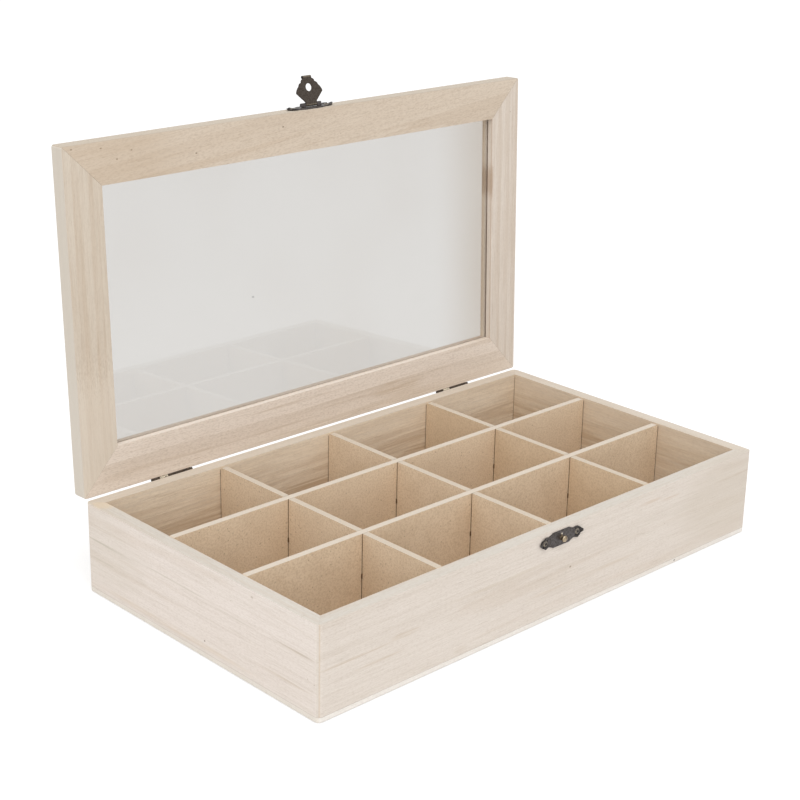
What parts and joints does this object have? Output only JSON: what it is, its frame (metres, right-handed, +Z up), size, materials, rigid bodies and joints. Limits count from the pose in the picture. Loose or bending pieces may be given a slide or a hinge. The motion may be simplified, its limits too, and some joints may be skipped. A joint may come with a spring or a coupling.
{
  "type": "compartment storage box",
  "caption": "Shallow wooden box divided into compartments, with a hinged framed lid holding a clear pane, and a swinging hasp that drops over a knob on the front.",
  "frame": {"origin": "middle of the box's underside", "axes": "+X to the right along the long side, -Y to the front that carries the catch, +Z up"},
  "size_m": [0.35, 0.2194, 0.2711],
  "materials": {
    "wall_wood": "raw, sanded pale paulownia",
    "base_wood": "raw thin plywood",
    "lid_wood": "raw, sanded pale paulownia",
    "fibreboard": "raw medium density fibreboard with pale cut edges",
    "clear_pane": "clear and smooth",
    "dark_bronze": "steel sheet with a dark antique bronze plating",
    "worn_brass": "antique plating worn back to brass",
    "steel_brads": "plain"
  },
  "bodies": {
    "box": {"base_panel": "base_wood", "front_wall": "wall_wood", "back_wall": "wall_wood", "left_wall": "wall_wood", "right_wall": "wall_wood", "base_brads": "steel_brads", "long_divider_front": "fibreboard", "long_divider_back": "fibreboard", "cross_divider_left": "fibreboard", "cross_divider_middle": "fibreboard", "cross_divider_right": "fibreboard", "left_hinge_box_leaf": "dark_bronze", "right_hinge_box_leaf": "dark_bronze", "left_hinge_pin": "dark_bronze", "right_hinge_pin": "dark_bronze", "hinge_box_nails": "dark_bronze", "catch_plate": "dark_bronze", "catch_plate_nails": "dark_bronze", "catch_knob": "worn_brass"},
    "lid": {"lid_front_rail": "lid_wood", "lid_back_rail": "lid_wood", "lid_left_rail": "lid_wood", "lid_right_rail": "lid_wood", "lid_pane": "clear_pane", "left_hinge_lid_leaf": "dark_bronze", "right_hinge_lid_leaf": "dark_bronze", "hinge_lid_nails": "dark_bronze", "hasp_plate": "dark_bronze", "hasp_plate_nails": "dark_bronze", "hasp_pin": "dark_bronze"},
    "hasp": {"hasp_leaf": "dark_bronze"}
  },
  "joints": [
    {"name": "lid_hinge", "type": "hinge", "parent": "box", "child": "lid", "pos_m": [0, 0.0998, 0.0541], "axis": [-1, 0, 0], "range_deg": [-92, 0]},
    {"name": "hasp_hinge", "type": "hinge", "parent": "lid", "child": "hasp", "pos_m": [0, 0.11081, 0.25484], "axis": [-1, 0, 0], "range_deg": [-104, 91]}
  ]
}
